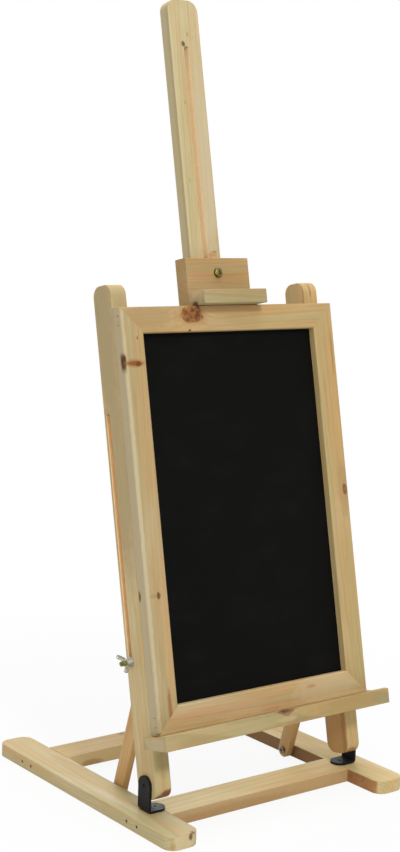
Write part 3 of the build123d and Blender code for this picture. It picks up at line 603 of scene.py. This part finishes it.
# Mast and top clamp
# The mast is one slotted bar of pine that slides behind the cross bars; the clamp is a block in front.
# A lip bar glued across the block's lower front sits on the top edge of the board.
mast_front = -1
up_the_mast = 590
dress("mast", pine(
    "pine_mast", "mast", upright_lie, heart=(0.06, -0.05), tone=(202, 186, 146),
    knots=[knot(on_frame(8.5, mast_front, 509), frame_back, across=0.0048, along=0.0056,
                core=(210, 172, 126), rim=(190, 152, 104), glow=(206, 176, 130), glow_share=0.3)],
    # The mast's slot walls are painted near white: painted light against the shade deep in the slot
    stains_and_painted_light=[stain_or_painted_light(on_frame(0, 6, up_the_mast), (0.012, 0.04, 0.5), (246, 223, 184), 1.0, right),
            stain_or_painted_light(on_frame(-19, 6, up_the_mast), (0.004, 0.03, 0.5), (186, 171, 133), 0.9, right),
            stain_or_painted_light(on_frame(11, mast_front, 620), (0.009, 0.003, 0.13), (198, 186, 154), 0.65, frame_back),
            stain_or_painted_light(on_frame(-19, 1.4, up_the_mast), (0.002, 0.0028, 0.5), (170, 154, 110), 0.6, right),
            stain_or_painted_light(on_frame(-17.6, mast_front, up_the_mast), (0.0018, 0.0014, 0.42), (202, 187, 146), 0.75),
            stain_or_painted_light(on_frame(11.4, mast_front, 513.6), (0.0032, 0.004, 0.0014), (132, 100, 62), 0.75),
            stain_or_painted_light(on_frame(-3.4, mast_front, 726), (0.0026, 0.006, 0.003), (92, 66, 38), 0.9),
            stain_or_painted_light(on_frame(2.8, mast_front, 736.5), (0.0018, 0.004, 0.0022), (164, 140, 96), 0.7),
            stain_or_painted_light(on_frame(-7.8, mast_front, 666), (0.001, 0.004, 0.0022), (150, 126, 82), 0.7),
            stain_or_painted_light(on_frame(-11.3, mast_front, 586.6), (0.0012, 0.004, 0.0022), (172, 140, 92), 0.6)]))
dress("clamp_block", pine(
    "pine_clamp_block", "clamp_block", crossbar_lie, heart=(-0.03, 0.05), tone=(184, 156, 112),
    late=(160, 116, 70),
    stains_and_painted_light=[stain_or_painted_light(on_frame(-24, -18, 487), (0.0025, 0.004, 0.012), (192, 140, 98), 0.5)]))
dress("clamp_lip", pine(
    "pine_clamp_lip", "clamp_lip", crossbar_lie, heart=(0.04, -0.04), tone=(176, 157, 116),
    late=(142, 124, 82), show=0.34,
    stains_and_painted_light=[stain_or_painted_light(on_frame(-39.2, -30, 480), (0.02, 0.02, 0.004), (204, 180, 134), 0.85, right),
            # Painted shade: a near-black spot at the lip's lower left corner, for the shadowed gap above the
            # rail
            stain_or_painted_light(on_frame(-39.2, -28, 456.8), (0.0052, 0.0034, 0.0034), (54, 34, 20), 0.95)]))

# Struts
# A flat pine strut with round ends stands behind each upright, screwed to the inner side of its runner.
# A bolt through the top of each runs in the slot of the upright, so the frame can lean or fold down.
for side in ("left", "right"):
    swing = Vector(joints[f"{side}_strut_swing"]["pos_m"])
    bolt_place = sum(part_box(f"{side}_strut_bolt_head"), Vector()) / 2
    rise = bolt_place - swing
    rise.x = 0
    rise.normalize()
    strut_lie = (right, rise.cross(right), rise)
    dress(f"{side}_strut", pine(
        f"pine_{side}_strut", f"{side}_strut", strut_lie, heart=(0.01, 0.05), tone=(214, 178, 124),
        late=(164, 110, 64)))

# Bolts, screws, washers and wing nuts
# Zinc plated machine bolts with cross recesses and real threads, and wing nuts with plain bar wings.
# The bolts are yellow zinc, the washers and wing nuts bright zinc, and the struts' screws have gone dull.


def zinc(name, light, dark, blush, least_dull, most_dull):
    """Plated steel: two tones, a blush where the plating is thin, and how dull it is."""
    material, tree, shader = finish_sheet(name)
    coords = object_place(tree)
    cloud = grit(tree, coords, 420.0, 3.0, 0.6)[0]
    fine = grit(tree, coords, 2600.0, 2.0)[0]
    colour = lay_colour_over(tree, fade(tree, cloud, 0.35, 0.65), tint(*light), tint(*dark))
    colour = lay_colour_over(tree, fade(tree, fine, 0.5, 0.75, low=0.0, high=0.5), colour, tint(*blush))
    tree.links.new(colour, shader.inputs["Base Color"])
    tree.links.new(fade(tree, cloud, 0.3, 0.7, least_dull, most_dull), shader.inputs["Roughness"])
    shader.inputs["Metallic"].default_value = 1.0
    relief(tree, shader, fine, strength=0.3, depth=0.0001)
    return material


bright_zinc = zinc("bright_zinc", light=(206, 208, 200), dark=(168, 172, 162), blush=(146, 150, 144),
                   least_dull=0.36, most_dull=0.5)
# The yellow zinc is painted darker than its plating: painted dark reflections of the surroundings
yellow_zinc = zinc("yellow_zinc", light=(150, 139, 80), dark=(88, 84, 44), blush=(112, 94, 62),
                   least_dull=0.18, most_dull=0.34)
dull_zinc = zinc("dull_zinc", light=(132, 128, 116), dark=(92, 86, 76), blush=(112, 92, 72),
                 least_dull=0.36, most_dull=0.52)
thread_pitch = 0.0008
thread_depth = 0.00035
bolt_radius = 0.0025


def span(node, direction):
    """How far a node reaches along a direction, lowest and highest."""
    reaches = [corner.co.dot(direction) for corner in frame["nodes"][node].data.vertices]
    return min(reaches), max(reaches)


def new_piece(name, points, faces, material, standing_for, body):
    """A new smooth piece that stands for a node and rides with its body."""
    mesh = bpy.data.meshes.new(name)
    mesh.from_pydata(points, [], faces)
    mesh.shade_smooth()
    coat(mesh, material)
    piece = put_in_scene(name, mesh)
    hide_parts(standing_for)
    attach(piece, body)


def turned(rows, start, along):
    """Points and faces of a piece turned on a lathe, from rows of a height and a radius for each angle."""
    sides = 48
    across = along.orthogonal().normalized()
    other = along.cross(across)
    points = []
    for height, radius in rows:
        for step in range(sides):
            angle = math.tau * step / sides
            spoke = across * math.cos(angle) + other * math.sin(angle)
            points.append(start + along * height + spoke * radius(angle))
    faces = [list(range(sides))[::-1]]
    for row in range(len(rows) - 1):
        for step in range(sides):
            first = row * sides + step
            second = row * sides + (step + 1) % sides
            faces.append((first, second, second + sides, first + sides))
    faces.append([(len(rows) - 1) * sides + step for step in range(sides)])
    return points, faces


def threaded_rows(length):
    """Rows of a threaded rod of some length, with a chamfer on its far end."""
    slices_per_turn = 8
    end_chamfer = 0.0006
    steps = max(slices_per_turn, round(length / thread_pitch * slices_per_turn))
    rows = []
    for step in range(steps + 1):
        height = length * step / steps
        crest = min(bolt_radius, bolt_radius - end_chamfer + (length - height))

        def radius(angle, height=height, crest=crest):
            phase = (height / thread_pitch - angle / math.tau) % 1.0
            return min(crest, bolt_radius - thread_depth * (1 - abs(2 * phase - 1)))

        rows.append((height, radius))
    return rows


for side, outward in (("left", -right), ("right", right)):
    node = f"{side}_strut_bolt_thread"
    near, far = span(node, outward)
    low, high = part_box(node)
    start = (low + high) / 2
    start.x = (outward * near).x
    points, faces = turned(threaded_rows(far - near), start, outward)
    new_piece(f"{side}_threaded_bolt_end", points, faces, yellow_zinc, node, f"{side}_slot_bolt")

# The bolts of the clamp and the mast keep their heads, and behind those get a new shank with a thread
shank_from_front = 0.006


def with_thread(node, name, nut_joint, body):
    """A bolt that keeps its head, with a threaded shank from there to its end."""
    near, far = span(node, frame_back)
    on_axis = Vector(joints[nut_joint]["pos_m"])
    start = on_axis + frame_back * (near + shank_from_front - on_axis.dot(frame_back))
    piece = copy_of(node, name)
    solid = bmesh.new()
    solid.from_mesh(piece.data)
    bmesh.ops.bisect_plane(solid, geom=solid.verts[:] + solid.edges[:] + solid.faces[:], plane_co=start,
                           plane_no=frame_back, clear_outer=True)
    points, faces = turned(threaded_rows(far - near - shank_from_front), start, frame_back)
    corners = [solid.verts.new(point) for point in points]
    for face in faces:
        solid.faces.new([corners[corner] for corner in face])
    solid.to_mesh(piece.data)
    solid.free()
    piece.data.shade_smooth()
    piece.data.set_sharp_from_angle(angle=sharp_angle)
    coat(piece.data, yellow_zinc)
    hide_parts(node)
    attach(piece, body)


with_thread("clamp_bolt", "clamp_bolt_with_thread", "clamp_wing_nut_turn", "clamp")
with_thread("mast_bolt", "mast_bolt_with_thread", "mast_wing_nut_turn", "frame")

# The other small pieces keep their shapes and get their plating
dress("strut_foot_screws", dull_zinc)
for plated in ("left_strut_washer", "right_strut_washer", "mast_washer", "clamp_washer"):
    dress(plated, bright_zinc)
for plated in ("left_strut_bolt_head", "right_strut_bolt_head"):
    dress(plated, yellow_zinc)
for plated in ("left_strut_wing_nut", "right_strut_wing_nut", "mast_wing_nut", "clamp_wing_nut"):
    dress(plated, bright_zinc)

# Studio
# A plain pale floor under four soft lamps, with white all round.
# The camera stands where the photograph was taken from: in front, to the left and a little above.
camera_place = Vector((-0.98446, -1.27765, 0.59589))
camera_aim = Vector((-0.0120, -0.0022, 0.3682))
camera_roll = math.radians(1.756)
camera_data = bpy.data.cameras.new("camera")
camera_data.sensor_width = 36.0
camera_data.lens = 67.434
camera = put_in_scene("camera", camera_data)
camera_look = (camera_aim - camera_place).to_track_quat("-Z", "Y").to_matrix()
camera_look = camera_look @ Matrix.Rotation(camera_roll, 3, "Z")
camera.matrix_world = Matrix.Translation(camera_place) @ camera_look.to_4x4()
bpy.context.scene.camera = camera
bpy.context.scene.view_settings.view_transform = "Standard"


def seen_as_white(tree):
    """One for rays that come from the camera or are reflected or let through, and nothing for the rest."""
    path = tree.nodes.new("ShaderNodeLightPath")
    seen = number(tree, "ADD", path.outputs["Is Camera Ray"], path.outputs["Is Glossy Ray"])
    seen = number(tree, "ADD", seen, path.outputs["Is Transmission Ray"])
    return number(tree, "MINIMUM", seen, 1.0)


room = bpy.data.worlds.new("white_room")
bpy.context.scene.world = room
room.use_nodes = True
tree = room.node_tree
room_light = 0.36
backdrop = tree.nodes["Background"]
backdrop.inputs["Color"].default_value = (1.0, 1.0, 1.0, 1.0)
tree.links.new(fade(tree, seen_as_white(tree), 0.0, 1.0, low=room_light, high=1.0),
               backdrop.inputs["Strength"])

# Where the camera looks, plain white covers the paint of the floor, the more so the further out it is
floor_half = 6.0
white_near = 0.89
near_edge = 0.25
far_edge = 0.9
floor_corners = [(-floor_half, -floor_half, 0), (floor_half, -floor_half, 0),
                 (floor_half, floor_half, 0), (-floor_half, floor_half, 0)]
floor_mesh = bpy.data.meshes.new("floor")
floor_mesh.from_pydata(floor_corners, [], [(0, 1, 2, 3)])
floor = put_in_scene("floor", floor_mesh)
floor_paint, tree, shader = finish_sheet("pale_floor")
shader.inputs["Base Color"].default_value = (0.82, 0.82, 0.82, 1.0)
shader.inputs["Roughness"].default_value = 0.9
white = tree.nodes.new("ShaderNodeEmission")
white.inputs["Strength"].default_value = 1.0
layer = tree.nodes.new("ShaderNodeMixShader")
coords = object_place(tree)
cover = fade(tree, vector(tree, "LENGTH", coords), near_edge, far_edge, low=white_near, high=1.0)
tree.links.new(number(tree, "MULTIPLY", cover, seen_as_white(tree)), layer.inputs[0])
tree.links.new(shader.outputs[0], layer.inputs[1])
tree.links.new(white.outputs[0], layer.inputs[2])
tree.links.new(layer.outputs[0], tree.nodes["Material Output"].inputs["Surface"])
floor_mesh.materials.append(floor_paint)


def softbox(name, place, aim, size, power):
    """A square soft lamp that the camera doesn't see."""
    data = bpy.data.lights.new(name, "AREA")
    data.shape = "SQUARE"
    data.size = size
    data.energy = power
    lamp = put_in_scene(name, data)
    lamp.visible_camera = False
    turn = (Vector(aim) - Vector(place)).to_track_quat("-Z", "Y")
    lamp.matrix_world = Matrix.Translation(place) @ turn.to_matrix().to_4x4()


middle = (0.0, 0.0, 0.4)
softbox("key", (-0.7, -3.0, 3.0), middle, size=0.7, power=68.0)
softbox("left", (-4.2, -1.2, 0.9), middle, size=2.4, power=30.0)
softbox("top", (0.1, 0.0, 4.3), middle, size=3.2, power=82.0)
softbox("rear", (1.6, 3.8, 2.2), middle, size=3.0, power=60.0)
